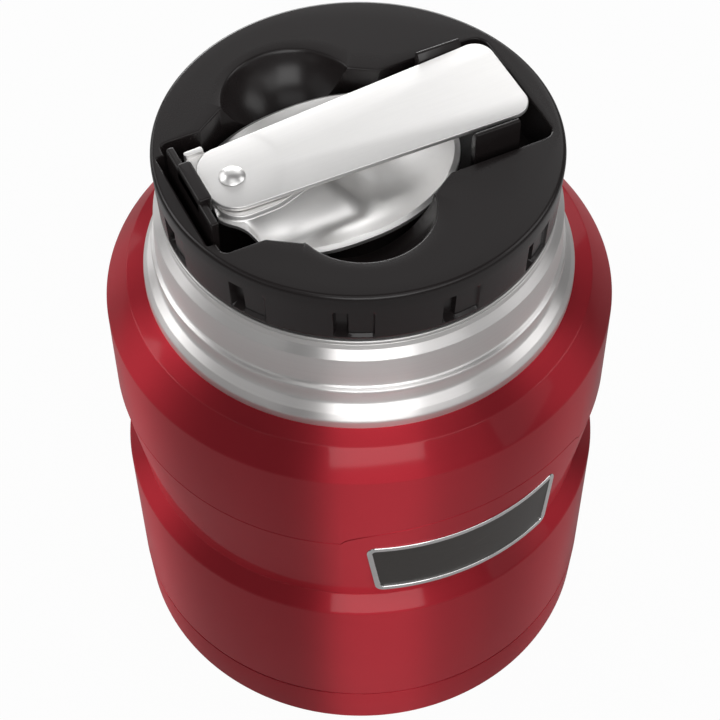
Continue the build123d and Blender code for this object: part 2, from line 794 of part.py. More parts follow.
foam_radius = groove_radius - plug_wall - foam_clearance
foam_bottom_z = plug_bottom_z + plug_wall + foam_clearance
cradle_bottom_z = rim_z - bowl_depth - cradle_gap - pocket_wall
with BuildPart() as stopper_foam:
    with BuildSketch(Plane.XY.offset(foam_bottom_z)):
        Circle(foam_radius)
    extrude(amount=cradle_bottom_z - 2 * foam_clearance - foam_bottom_z)
stopper_foam.part.label = "stopper_foam"
export_step(stopper_foam.part, "parts/stopper_foam.step")

with BuildPart() as stopper_gasket:
    with BuildSketch(Plane.XZ):
        with BuildLine():
            Polyline(
                (gasket_inner_radius, gasket_top_z - gasket_height),
                (gasket_low_radius, gasket_top_z - gasket_height),
                (gasket_radius, gasket_top_z - gasket_height + gasket_chamfer / seat_slope),
                (gasket_radius, gasket_top_z),
                (gasket_inner_radius, gasket_top_z),
                close=True,
            )
        make_face()
    revolve(axis=Axis.Z)
stopper_gasket.part.label = "stopper_gasket"
export_step(stopper_gasket.part, "parts/stopper_gasket.step")
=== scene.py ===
import bpy
import bmesh
import numpy as np
from math import cos, pi, radians, sin, sqrt, tan
from mathutils import Matrix, Vector


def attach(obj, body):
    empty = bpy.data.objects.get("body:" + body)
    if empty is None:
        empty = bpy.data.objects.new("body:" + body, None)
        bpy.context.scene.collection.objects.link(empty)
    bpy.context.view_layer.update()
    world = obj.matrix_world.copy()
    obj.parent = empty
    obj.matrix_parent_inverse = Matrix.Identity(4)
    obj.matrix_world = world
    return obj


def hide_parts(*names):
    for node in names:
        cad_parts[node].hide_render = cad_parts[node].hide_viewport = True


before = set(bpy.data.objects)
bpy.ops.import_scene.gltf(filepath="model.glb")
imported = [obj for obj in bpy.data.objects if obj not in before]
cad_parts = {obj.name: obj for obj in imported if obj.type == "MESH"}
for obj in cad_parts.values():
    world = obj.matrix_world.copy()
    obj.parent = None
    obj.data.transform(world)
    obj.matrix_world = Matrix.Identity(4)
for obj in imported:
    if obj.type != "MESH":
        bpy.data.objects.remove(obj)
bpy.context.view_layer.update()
mm = 0.001
tiny = 1e-9
print("frame loaded")

# in metres: points nearer than this are joined, and shorter edges go
meshing = dict(join=2e-6, sliver=1e-7)


def addObject(name, data):
    item = bpy.data.objects.new(name, data)
    bpy.context.scene.collection.objects.link(item)
    return item


# grids of points (rows, columns, 3) in millimetres become one closed mesh: neighbours in both directions make
# the quads, and a wrapped direction joins its last line to its first
def pieceFromGrids(name, grids, body, replaced, look, sharpAngle=32):
    points, quads, start = [], [], 0
    for grid in grids:
        p = grid["points"]
        rows, columns = p.shape[:2]
        index = np.arange(rows * columns).reshape(rows, columns) + start
        if grid.get("wrapCols", True):
            index = np.concatenate([index, index[:, :1]], 1)
        if grid.get("wrapRows", False):
            index = np.concatenate([index, index[:1]], 0)
        corners = [index[:-1, :-1], index[:-1, 1:], index[1:, 1:], index[1:, :-1]]
        quads.append(np.stack([c.ravel() for c in corners], 1))
        points.append(p.reshape(-1, 3))
        start += rows * columns
    points = np.concatenate(points) * mm
    quads = np.concatenate(quads)
    mesh = bpy.data.meshes.new(name)
    mesh.vertices.add(len(points))
    mesh.vertices.foreach_set("co", points.ravel())
    mesh.loops.add(len(quads) * 4)
    mesh.loops.foreach_set("vertex_index", quads.ravel().astype(np.int32))
    mesh.polygons.add(len(quads))
    mesh.polygons.foreach_set("loop_start", np.arange(len(quads), dtype=np.int32) * 4)
    mesh.update(calc_edges=True)
    closeAndTurnOut(mesh)
    mesh.shade_smooth()
    mesh.set_sharp_from_angle(angle=radians(sharpAngle))
    mesh.materials.append(materials[look])
    piece = addObject(name, mesh)
    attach(piece, body)
    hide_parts(replaced)
    print(name, len(mesh.polygons), "faces")


# seams and poles are merged, slivers go, and the faces of each closed part point outwards
def closeAndTurnOut(mesh):
    work = bmesh.new()
    work.from_mesh(mesh)
    bmesh.ops.remove_doubles(work, verts=work.verts, dist=meshing["join"])
    bmesh.ops.dissolve_degenerate(work, edges=work.edges, dist=meshing["sliver"])
    bmesh.ops.recalc_face_normals(work, faces=work.faces)
    work.to_mesh(mesh)
    work.free()
    mesh.update()


# the path's inner corners become arcs: a conic with the corner as its middle point, whose weight is the
# sine of half the corner's angle, is a true circle. an arc takes less than half of the shorter side. points
# (..., n, 2), radii (n - 2)
def roundedPath(points, radii, steps):
    sharpestHalf, sideShare = 0.02, 0.49
    a, b, c = points[..., :-2, :], points[..., 1:-1, :], points[..., 2:, :]
    back, ahead = a - b, c - b
    lengthBack = np.maximum(np.linalg.norm(back, axis=-1, keepdims=True), tiny)
    lengthAhead = np.maximum(np.linalg.norm(ahead, axis=-1, keepdims=True), tiny)
    back, ahead = back / lengthBack, ahead / lengthAhead
    half = np.arccos(np.clip((back * ahead).sum(-1, keepdims=True), -1, 1)) / 2
    half = np.clip(half, sharpestHalf, pi / 2)
    reach = np.asarray(radii, float)[:, None] / np.tan(half)
    reach = np.minimum(reach, sideShare * np.minimum(lengthBack, lengthAhead))
    first, last, weight = b + back * reach, b + ahead * reach, np.sin(half)
    t = np.linspace(0, 1, steps)[:, None]
    first, last, middle, weight = (v[..., None, :] for v in (first, last, b, weight))
    top = (1 - t) ** 2 * first + 2 * t * (1 - t) * weight * middle + t ** 2 * last
    arcs = top / ((1 - t) ** 2 + 2 * t * (1 - t) * weight + t ** 2)
    arcs = arcs.reshape(points.shape[:-2] + (-1, 2))
    return np.concatenate([points[..., :1, :], arcs, points[..., -1:, :]], -2)


# the same for a closed outline: the first corner is met again at the end
def roundedLoop(points, radii, steps):
    points = np.asarray(points, float)
    around = np.concatenate([points[..., -1:, :], points, points[..., :1, :]], -2)
    return roundedPath(around, radii, steps)[..., 1:-1, :]


# half an outline, as corners of x, y and rounding, and its mirror image in Y make one rounded loop
def mirroredLoop(half, steps):
    corners = half + [(x, -y, rounding) for x, y, rounding in half[::-1]]
    return roundedLoop([c[:2] for c in corners], [c[2] for c in corners], steps)


# sides of an outline that are longer than a limit are cut into parts
def denseOutline(outline, limit, parts):
    dense = []
    for start, end in zip(outline, np.roll(outline, -1, 0)):
        count = parts if np.linalg.norm(end - start) > limit else 1
        dense.append(start + (end - start) * np.linspace(0, 1, count, endpoint=False)[:, None])
    return np.concatenate(dense)


def evenTurn(count):
    return np.arange(count) * 2 * pi / count


def quarter(count, start=0):
    return np.linspace(start, pi / 2, count)


def rays(angle):
    return np.stack([np.cos(angle), np.sin(angle)], -1)


# a place round the Z axis: x = r cos(angle), y = r sin(angle)
def polar(radius, angle, height):
    return np.stack([radius * np.cos(angle), radius * np.sin(angle), height], -1)


# a section of corners, each a radius, a height and a rounding, is carried round the Z axis. they may differ
# from column to column. a section that isn't closed starts and ends on the axis
def turnedGrid(corners, steps, columns=360, closed=True):
    section = np.zeros((columns, len(corners), 2))
    for k, corner in enumerate(corners):
        section[:, k, 0], section[:, k, 1] = corner[:2]
    radii = [c[2] for c in corners]
    section = roundedLoop(section, radii, steps) if closed else roundedPath(section, radii[1:-1], steps)
    r, z = section.transpose(2, 1, 0)
    return {"points": polar(r, evenTurn(columns), z), "wrapRows": closed}


# from 0 at the low value to 1 at the high one, level at both ends: t t (3 - 2 t)
def smoothStep(low, high, value):
    t = np.clip((value - low) / (high - low), 0, 1)
    return t * t * (3 - 2 * t)


def addNode(tree, kind, settings=None, **inputs):
    node = tree.nodes.new("ShaderNode" + kind)
    for key, value in (settings or {}).items():
        setattr(node, key, value)
    for key, value in inputs.items():
        socket = node.inputs[int(key[1:])] if key[0] == "i" and key[1:].isdigit() else node.inputs[key]
        if isinstance(value, bpy.types.NodeSocket):
            tree.links.new(value, socket)
        else:
            socket.default_value = value
    return node


def addMath(tree, operation, *values):
    inputs = {"i" + str(k): value for k, value in enumerate(values)}
    return addNode(tree, "Math", {"operation": operation}, **inputs).outputs[0]


def addNoise(tree, place, scale, detail, roughness=0.5):
    node = addNode(tree, "TexNoise", Vector=place, Scale=scale, Detail=detail, Roughness=roughness)
    return node.outputs["Fac"]


# a node group with one result, which depends on the place on the object and on the inputs
def newGroup(name, label, **inputs):
    group = bpy.data.node_groups.new(name, "ShaderNodeTree")
    group.interface.new_socket(label, in_out="OUTPUT", socket_type="NodeSocketFloat")
    for key, value in inputs.items():
        group.interface.new_socket(key, in_out="INPUT", socket_type="NodeSocketFloat").default_value = value
    place = addNode(group, "TexCoord").outputs["Object"]
    given = group.nodes.new("NodeGroupInput").outputs
    return group, place, given, group.nodes.new("NodeGroupOutput").inputs[0]


# fine lines that run round the axis: noise over radius and height, almost none along the turn
def makeTurnedLines():
    group, place, given, result = newGroup("turnedLines", "Lines", Density=2600.0)
    split = addNode(group, "SeparateXYZ", Vector=place).outputs
    square = addMath(group, "MULTIPLY", split["X"], split["X"])
    radius = addMath(group, "SQRT", addMath(group, "MULTIPLY_ADD", split["Y"], split["Y"], square))
    along = addMath(group, "MULTIPLY", split["X"], 0.012)
    joined = addNode(group, "CombineXYZ", X=radius, Y=split["Z"], Z=along).outputs[0]
    group.links.new(addNoise(group, joined, given["Density"], 4.0, 0.65), result)
    return group


# grain drawn out along X, as a belt or a rolled sheet leaves it
def makeSheetGrain():
    group, place, given, result = newGroup("sheetGrain", "Grain", Density=1500.0)
    stretched = addNode(group, "Mapping", Vector=place, Scale=(0.035, 1.0, 1.0)).outputs[0]
    group.links.new(addNoise(group, stretched, given["Density"], 5.0, 0.6), result)
    return group


# the fine even texture of a moulding or a spray coat, with a second, broader ripple
def makeMouldGrain():
    group, place, given, result = newGroup("mouldGrain", "Grain", Density=2200.0, Ripple=120.0, Share=0.3)
    fine = addNoise(group, place, given["Density"], 3.0)
    broad = addNoise(group, place, given["Ripple"], 1.0)
    mixed = addNode(group, "Mix", {"data_type": "FLOAT"}, i0=given["Share"], i2=fine, i3=broad)
    group.links.new(mixed.outputs[0], result)
    return group


# where hands and cloths have left the surface a little duller or brighter
def makeHandling():
    group, place, given, result = newGroup("handling", "Roughness", Size=38.0, Base=0.3, Spread=0.08)
    centred = addMath(group, "SUBTRACT", addNoise(group, place, given["Size"], 4.0, 0.55), 0.5)
    group.links.new(addMath(group, "MULTIPLY_ADD", centred, given["Spread"], given["Base"]), result)
    return group


turnedLines = makeTurnedLines()
sheetGrain = makeSheetGrain()
mouldGrain = makeMouldGrain()
handling = makeHandling()


def addGroup(tree, group, **inputs):
    node = tree.nodes.new("ShaderNodeGroup")
    node.node_tree = group
    for key, value in inputs.items():
        node.inputs[key].default_value = value
    return node.outputs[0]


# one Principled surface: the constants go on its own sockets, the patterns feed colour, roughness and bump.
# "around" is the axis that the lines of a turned or rolled metal run round, and "lineTurn" turns them
def newMaterial(name, colour, density, depth, shade=None, metallic=0.0, roughness=0.4, spread=0.06, coat=0.0,
                coatRoughness=0.03, grain=mouldGrain, mottle=0.06, anisotropy=0.0, around="Z", lineTurn=0.25,
                specular=0.5):
    material = bpy.data.materials.new(name)
    material.use_nodes = True
    tree = material.node_tree
    surface = tree.nodes["Principled BSDF"].inputs
    surface["Metallic"].default_value = metallic
    surface["Specular IOR Level"].default_value = specular
    surface["Coat Weight"].default_value = coat
    surface["Coat Roughness"].default_value = coatRoughness
    if anisotropy > 0:
        surface["Anisotropic"].default_value = anisotropy
        surface["Anisotropic Rotation"].default_value = lineTurn
        lines = addNode(tree, "Tangent", {"direction_type": "RADIAL", "axis": around})
        tree.links.new(lines.outputs[0], surface["Tangent"])
    tree.links.new(addGroup(tree, handling, Base=roughness, Spread=spread), surface["Roughness"])
    pattern = addGroup(tree, grain, Density=density)
    dark = shade or tuple(channel * (1 - mottle) for channel in colour)
    tint = addNode(tree, "Mix", {"data_type": "RGBA"}, Factor=pattern, i6=(*dark, 1), i7=(*colour, 1))
    tree.links.new(tint.outputs[2], surface["Base Color"])
    bump = addNode(tree, "Bump", Height=pattern, Strength=1.0, Distance=depth)
    tree.links.new(bump.outputs["Normal"], surface["Normal"])
    return material


finishes = {
    "redCoat": dict(colour=(0.54, 0.034, 0.050), shade=(0.47, 0.028, 0.042), metallic=1.0, roughness=0.48,
                    spread=0.02, coat=0.32, coatRoughness=0.08, density=5200.0, depth=1e-6, anisotropy=1.0),
    "polishedSteel": dict(colour=(0.86, 0.84, 0.83), metallic=1.0, roughness=0.35, spread=0.04, depth=1e-6,
                          grain=turnedLines, density=3000.0, mottle=0.08, anisotropy=0.92),
    "linerSteel": dict(colour=(0.68, 0.67, 0.66), metallic=1.0, roughness=0.40, grain=turnedLines,
                       density=1900.0, depth=3e-6, mottle=0.12, anisotropy=0.7),
    "blackPlastic": dict(colour=(0.015, 0.012, 0.012), roughness=0.26, density=3600.0, depth=2e-6, mottle=0.2,
                         specular=0.30),
    "spoonSteel": dict(colour=(0.88, 0.87, 0.86), metallic=1.0, roughness=0.44, spread=0.05, grain=sheetGrain,
                       density=2600.0, depth=1.5e-6, anisotropy=0.5, around="X", lineTurn=0.0),
    "bowlSteel": dict(colour=(0.88, 0.87, 0.86), metallic=1.0, roughness=0.46, spread=0.04, density=4200.0,
                      depth=1e-6, mottle=0.04),
    "rivetSteel": dict(colour=(0.86, 0.85, 0.84), metallic=1.0, roughness=0.34, spread=0.04, density=4200.0,
                       depth=1e-6, mottle=0.04),
    "badgeChrome": dict(colour=(0.86, 0.86, 0.86), metallic=1.0, roughness=0.10, spread=0.04, density=4000.0,
                        depth=1e-6),
    "badgeGrey": dict(colour=(0.066, 0.061, 0.057), metallic=0.4, roughness=0.34, spread=0.05, depth=2e-6,
                      grain=sheetGrain, density=3000.0, mottle=0.25),
    "silicone": dict(colour=(0.30, 0.30, 0.30), roughness=0.55, density=1500.0, depth=4e-6),
    "whiteFoam": dict(colour=(0.80, 0.78, 0.74), roughness=0.9, density=900.0, depth=6e-5, mottle=0.15),
    "sealBead": dict(colour=(0.20, 0.18, 0.15), roughness=0.15, density=800.0, depth=5e-6),
    "getterMetal": dict(colour=(0.22, 0.22, 0.23), metallic=0.8, roughness=0.7, density=1200.0, depth=3e-5,
                        mottle=0.3),
    "brightFoil": dict(colour=(0.85, 0.85, 0.86), metallic=1.0, roughness=0.18, density=300.0, depth=5e-5),
}
materials = {name: newMaterial(name, **look) for name, look in finishes.items()}
print("materials ready")


jar = dict(
    columns=480, bandRadius=47.0, waistRadius=43.9, lowerRadius=46.8, seamRadius=46.53, tailRadius=44.93,
    tailZ=3.2, seamZ=11.2, flareZ=42.2, waistZ=45.0, creaseZ=66.5, shoulderZ=85.6, landRadius=42.9,
    landOuterZ=90.7, flangeRadius=39.5, landZ=91.7, wall=0.7, archRise=4.4, archHalfAngle=32.0, archAngle=2.2,
    seamRound=0.08, flareRound=0.9, waistRound=0.35, shoulderRound=0.9, landRound=0.6, creaseDepth=0.16,
    creaseHalf=0.16, creaseStep=0.02, creaseRound=0.05, innerDrop=0.3, innerInset=0.4, innerRound=0.5,
    innerSmallRound=0.3, tailRise=1.0)


# the height of the crease: level round the jar, and half an ellipse over the badge
def creaseHeight(angle):
    off = (np.degrees(angle) + 90 - jar["archAngle"] + 180) % 360 - 180
    reach = 1 - (off / jar["archHalfAngle"]) ** 2
    return jar["creaseZ"] + jar["archRise"] * np.sqrt(np.maximum(reach, 0))


# the crease, a fine scored line, stands at its own height in each column, so the taper is ruled between the
# level waist and the arched crease
def makeOuterShell():
    j = jar
    crease = creaseHeight(evenTurn(j["columns"]))
    band, wall, half, inside = j["bandRadius"], j["wall"], j["creaseHalf"], j["innerRound"]
    corners = [
        (j["tailRadius"], j["tailZ"], 0.0), (j["tailRadius"], j["seamZ"], 0.0),
        (j["seamRadius"], j["seamZ"], j["seamRound"]), (j["lowerRadius"], j["flareZ"], j["flareRound"]),
        (j["waistRadius"], j["waistZ"], j["waistRound"]), (band - j["creaseStep"], crease, j["creaseRound"]),
        (band - j["creaseDepth"], crease + half, j["creaseRound"]),
        (band, crease + 2 * half, j["creaseRound"]), (band, j["shoulderZ"], j["shoulderRound"]),
        (j["landRadius"], j["landOuterZ"], j["landRound"]),
        (j["flangeRadius"], j["landZ"], 0.0), (j["flangeRadius"], j["landZ"] - wall, 0.0),
        (j["landRadius"] - j["innerInset"], j["landOuterZ"] - wall, inside),
        (band - wall, j["shoulderZ"] - j["innerDrop"], inside), (band - wall, crease, inside),
        (j["waistRadius"] - wall, j["waistZ"], j["innerSmallRound"]),
        (j["lowerRadius"] - wall, j["flareZ"] - j["innerDrop"], inside),
        (j["tailRadius"] - wall, j["seamZ"] - j["tailRise"], j["innerSmallRound"]),
        (j["tailRadius"] - wall, j["tailZ"], 0.0),
    ]
    grid = turnedGrid(corners, 5, columns=j["columns"])
    pieceFromGrids("outerShell", [grid], "jar", "outer_shell", "redCoat", 24)


baseCup = dict(
    seamRadius=46.53, seamZ=10.78, footRadius=46.03, footRound=1.4, footWidth=3.4, floorZ=1.2, wall=0.9,
    innerRadius=45.03, innerRound=0.5, ringRound=0.4, seamRound=0.08, edgeRound=0.1)


def makeBaseCup():
    b = baseCup
    ringRadius, floorTop = b["footRadius"] - b["footWidth"], b["floorZ"] + b["wall"]
    corners = [
        (0, b["floorZ"], 0.0), (ringRadius, b["floorZ"], b["innerRound"]), (ringRadius, 0, b["ringRound"]),
        (b["footRadius"], 0, b["footRound"]), (b["seamRadius"], b["seamZ"], b["seamRound"]),
        (b["innerRadius"], b["seamZ"], b["edgeRound"]), (b["innerRadius"], floorTop, b["innerRound"]),
        (0, floorTop, 0.0),
    ]
    grid = turnedGrid(corners, 7, closed=False)
    pieceFromGrids("baseCup", [grid], "jar", "base_cup", "redCoat", 24)


neck = dict(
    innerRadius=34.7, lipRadius=35.3, lipZ=109.2, bevelTopZ=108.0, neckRadius=36.9, bevelFootZ=106.5,
    bevelInset=0.3, grooveZ=100.2, grooveDepth=0.3, grooveHalf=0.3, beadRadius=37.6, beadZ=98.7,
    beadAbove=0.65, beadBelow=0.35, underBead=37.15, underBeadZ=97.9, flareTopZ=95.6, flareRadius=38.7,
    flareZ=94.4, flangeRadius=39.5, edgeTopZ=93.3, edgeZ=91.0, edgeWidth=0.8, wall=0.6)


# down the outside and up the inside
def makeNeckCollar():
    n = neck
    radius, edgeInside = n["neckRadius"], n["flangeRadius"] - n["edgeWidth"]
    inside = radius - n["wall"]
    corners = [
        (n["innerRadius"], n["lipZ"], 0.0), (n["lipRadius"], n["lipZ"], 0.1),
        (n["lipRadius"], n["bevelTopZ"], 0.25), (radius - n["bevelInset"], n["bevelFootZ"], 0.3),
        (radius, n["grooveZ"], 0.08), (radius - n["grooveDepth"], n["grooveZ"] - n["grooveHalf"], 0.05),
        (radius, n["grooveZ"] - 2 * n["grooveHalf"], 0.05),
        (n["beadRadius"], n["beadZ"] + n["beadAbove"], 0.35),
        (n["beadRadius"], n["beadZ"] - n["beadBelow"], 0.35), (n["underBead"], n["underBeadZ"], 0.35),
        (n["underBead"], n["flareTopZ"], 0.8),
        (n["flareRadius"], n["flareZ"], 0.9), (n["flangeRadius"], n["edgeTopZ"], 0.9),
        (n["flangeRadius"], n["edgeZ"], 0.1), (edgeInside, n["edgeZ"], 0.0),
        (edgeInside, n["edgeTopZ"] - n["edgeWidth"], 0.2), (inside, n["flareTopZ"] - n["wall"], 0.3),
        (inside, n["bevelFootZ"] - n["wall"], 0.2), (n["innerRadius"], n["bevelFootZ"] + n["wall"], 0.0),
    ]
    grid = turnedGrid(corners, 6, columns=480)
    pieceFromGrids("neckCollar", [grid], "jar", "neck_collar", "polishedSteel", 30)


liner = dict(
    mouthRadius=34.1, wall=0.6, lipRadius=35.3, lipZ=110.0, lipHeight=0.8, seatZ=94.2, throatRadius=31.9,
    throatZ=90.9, throatFootZ=89.7, bodyRadius=42.0, bodyTopZ=83.1, bodyInset=0.2, floorZ=8.2, corner=9.0)
thread = dict(
    lead=8.0, starts=2, wallZ=96.8, plugShift=2.0, turns=1.0, footWidth=1.9, crestWidth=0.8, crestRound=0.2,
    sunk=0.25, fade=0.07, mouthWall=34.1, mouthCrest=33.35, plugWall=32.6, plugCrest=33.4, steps=150)


# a trapezoid section carried up a helix, z = lead * angle / full turn, that shrinks to a point at both ends
def threadGrids(wallRadius, crestRadius, startZ):
    t = thread
    along = np.linspace(0, 1, t["steps"])
    grown = np.clip(np.minimum(along, 1 - along) / t["fade"], 0, 1)
    root = wallRadius + t["sunk"] * (1 if wallRadius > crestRadius else -1)
    halfFoot, halfCrest = t["footWidth"] / 2, t["crestWidth"] / 2
    corners = [(root, -halfFoot), (root, halfFoot), (crestRadius, halfCrest), (crestRadius, -halfCrest)]
    section = roundedLoop(corners, [0.0, 0.0, t["crestRound"], t["crestRound"]], 4)
    grids = []
    for start in range(t["starts"]):
        angle = start * 2 * pi / t["starts"] + along * t["turns"] * 2 * pi
        radius = root + (section[:, :1] - root) * grown
        height = startZ + t["lead"] * t["turns"] * along + section[:, 1:] * grown
        grids.append({"points": polar(radius, angle, height), "wrapCols": False, "wrapRows": True})
    return grids


# up the inside, over the lip, down the outside
def makeInnerVessel():
    v = liner
    w, flatRadius, cornerZ = v["wall"], v["bodyRadius"] - v["corner"], v["floorZ"] + v["corner"]
    inside, lipFootZ = v["bodyRadius"] - w, v["lipZ"] - v["lipHeight"]
    corners = [
        (0, v["floorZ"], 0.0), (flatRadius, v["floorZ"], 3.0), (inside, cornerZ, 3.0),
        (inside, v["bodyTopZ"] - v["bodyInset"], 2.0), (v["throatRadius"], v["throatFootZ"], 0.5),
        (v["throatRadius"], v["throatZ"], 0.4), (v["mouthRadius"], v["seatZ"], 0.4),
        (v["mouthRadius"], v["lipZ"], 0.3), (v["lipRadius"], v["lipZ"], 0.3), (v["lipRadius"], lipFootZ, 0.2),
        (v["mouthRadius"] + w, lipFootZ, 0.0), (v["mouthRadius"] + w, v["seatZ"], 0.4),
        (v["throatRadius"] + w, v["throatZ"], 0.4), (v["throatRadius"] + w, v["throatFootZ"], 0.5),
        (v["bodyRadius"], v["bodyTopZ"], 2.0), (v["bodyRadius"], cornerZ - w, 3.0),
        (flatRadius, v["floorZ"] - w, 3.0), (0, v["floorZ"] - w, 0.0),
    ]
    grids = [turnedGrid(corners, 6, closed=False)]
    grids += threadGrids(thread["mouthWall"], thread["mouthCrest"], thread["wallZ"])
    pieceFromGrids("innerVessel", grids, "jar", "inner_vessel", "linerSteel")


makeOuterShell()
makeBaseCup()
makeNeckCollar()
makeInnerVessel()


badge = dict(
    angle=0.4, centreZ=57.4, height=14.0, topWidth=40.8, bottomWidth=36.8, corner=1.8, smallestCorner=0.3,
    faceRadius=46.6, border=1.1, recess=0.35, lip=0.3, backRadius=43.5, edge=0.22, plateGap=0.03)


# the trapezoid's outline, drawn in by an inset, as points of arc length and height. its two long sides get
# more points, so that they bend round the jar
def badgeOutline(inset):
    b = badge
    lean = (b["topWidth"] - b["bottomWidth"]) / 2 / b["height"]
    side = inset * sqrt(1 + lean ** 2)
    low, high = -b["height"] / 2 + inset, b["height"] / 2 - inset
    halfLow = b["bottomWidth"] / 2 + lean * inset - side
    halfHigh = b["topWidth"] / 2 - lean * inset - side
    corners = [(-halfLow, low), (halfLow, low), (halfHigh, high), (-halfHigh, high)]
    outline = roundedLoop(corners, [max(b["corner"] - inset, b["smallestCorner"])] * 4, 9)
    return denseOutline(outline, 10, 40)


# a point of arc length and height is bent round the jar at the given radius
def badgePoints(outline, radius):
    b = badge
    angle = radians(b["angle"] - 90) + outline[:, 0] / b["faceRadius"]
    return polar(radius, angle, b["centreZ"] + outline[:, 1])


# the frame's section, as insets and radii, has two rounded edges. the plate's rings shrink to its middle
def makeBadge():
    b = badge
    face, edge, border, back = b["faceRadius"], b["edge"], b["border"], b["backRadius"]
    plateRadius = face - b["recess"]
    steps = [(0.0, back), (0.0, face - edge)]
    steps += [(edge * (1 - cos(a)), face - edge + edge * sin(a)) for a in quarter(5, 0.2)]
    steps += [(border - edge + edge * sin(a), face - edge + edge * cos(a)) for a in quarter(5)]
    steps += [(border, plateRadius - b["lip"]), (border, back)]
    ring = np.stack([badgePoints(badgeOutline(inset), radius) for inset, radius in steps])
    grid = {"points": ring, "wrapRows": True}
    pieceFromGrids("badgeFrame", [grid], "jar", "badge_frame", "badgeChrome")
    rim = badgeOutline(border + b["plateGap"])
    plate = [badgePoints(rim * share, plateRadius) for share in np.linspace(0, 1, 9)]
    plate += [badgePoints(rim * share, back) for share in (1.0, 0.5, 0.0)]
    grid = {"points": np.stack(plate)}
    pieceFromGrids("badgeInlay", [grid], "jar", "badge_inlay", "badgeGrey")


makeBadge()


cap = dict(
    topZ=121.8, bottomZ=110.3, topRadius=35.85, bottomRadius=35.3, edge=0.9, ring=31.05, centreX=-5.0,
    floorZ=111.9, underside=1.6, columns=200, foot=0.35, slotX=31.35, slotY=13.9, slotCorner=2.6,
    tailCorner=1.6, tailInset=0.1, cheekLeft=-18.4, cheekLeftFoot=-23.6, cheekRight=5.4, cheekRightFoot=10.6,
    cheekY=17.3, cheekRound=0.8, slitX=-32.9, slitY=11.2, slitRound=0.6, slitInnerRound=0.3, scoopX=-6.0,
    scoopY=14.3, scoopRadius=12.4, scoopDepth=9.0, scoopEdge=0.25, rimRound=0.45, windows=12, windowAngle=3.0,
    windowWidth=6.7, windowLowZ=111.6, windowHighZ=117.6, windowDepth=1.5, windowShallow=0.5, windowStep=0.22,
    windowSoft=0.15, windowAbove=0.9, windowInside=0.8, deepFrom=-0.26, deepTo=-0.36, wallShare=0.3,
    rimIn=0.6, rimOut=0.9, footInset=0.3)
bowl = dict(
    x=-4.95, halfLength=23.3, halfWidth=17.3, depth=9.5, rimZ=117.3, tilt=-1.95, sheet=0.9, cradleGap=0.8,
    heelPower=2.4, edge=0.15, rimWidth=1.1, rimSlope=0.45, sag=8.8, sagRun=25.0, sagPower=1.2, sagShift=0.35,
    columns=540, rows=52, thinRun=1.2, smallestStep=0.02, farthest=60.0, halvings=40)


# the pocket's outline in plan: the slot, its two cheeks, and the slit that the latch stands in
def pocketOutline():
    c = cap
    return mirroredLoop([
        (c["slotX"], c["slotY"], c["slotCorner"]), (c["cheekRightFoot"], c["slotY"], c["cheekRound"]),
        (c["cheekRight"], c["cheekY"], c["cheekRound"]), (c["cheekLeft"], c["cheekY"], c["cheekRound"]),
        (c["cheekLeftFoot"], c["slotY"], c["cheekRound"]),
        (-c["slotX"] + c["tailInset"], c["slotY"], c["tailCorner"]),
        (-c["slotX"], c["slitY"], c["slitInnerRound"]), (c["slitX"], c["slitY"], c["slitRound"]),
    ], 8)


# how far each ray from a centre runs to a closed outline: the crossing with each of its straight steps
def rayReach(centre, direction, outline):
    parallel = 1e-12
    a = outline - centre
    side = np.roll(outline, -1, 0) - outline
    dx, dy = direction[:, None, 0], direction[:, None, 1]
    cross = dx * side[None, :, 1] - dy * side[None, :, 0]
    cross = np.where(np.abs(cross) < parallel, parallel, cross)
    reach = (a[None, :, 0] * side[None, :, 1] - a[None, :, 1] * side[None, :, 0]) / cross
    share = (a[None, :, 0] * dy - a[None, :, 1] * dx) / cross
    hit = (share >= -tiny) & (share <= 1 + tiny) & (reach > 0)
    return np.where(hit, reach, 0).max(1)


# how far each ray runs to the far side of a circle, and nothing where it misses
def rayToCircle(start, direction, middle, radius):
    off = middle - start
    along = direction @ off
    clear = radius ** 2 - (off @ off - along ** 2)
    return np.where(clear > 0, along + np.sqrt(np.maximum(clear, 0)), 0)


# the form that the spoon's bowl lies in: an arc turned about a lengthwise axis above the rim
def bowlHeight(x, y, gap):
    b = bowl
    arc = (b["halfLength"] ** 2 + b["depth"] ** 2) / (2 * b["depth"])
    axis = (b["halfWidth"] ** 2 - b["depth"] ** 2) / (2 * b["depth"])
    local = x - b["x"]
    reach = np.maximum(np.sqrt(np.maximum((arc + gap) ** 2 - local ** 2, 0)) - (arc - b["depth"]) + axis, 0)
    drop = np.sqrt(np.maximum(reach ** 2 - y ** 2, 0)) - axis
    return b["rimZ"] - drop - local * tan(radians(b["tilt"]))


# the floor of the pocket, sunk where the bowl lies in it
def cradleHeight(x, y):
    return np.minimum(cap["floorZ"], bowlHeight(x, y, bowl["cradleGap"]))


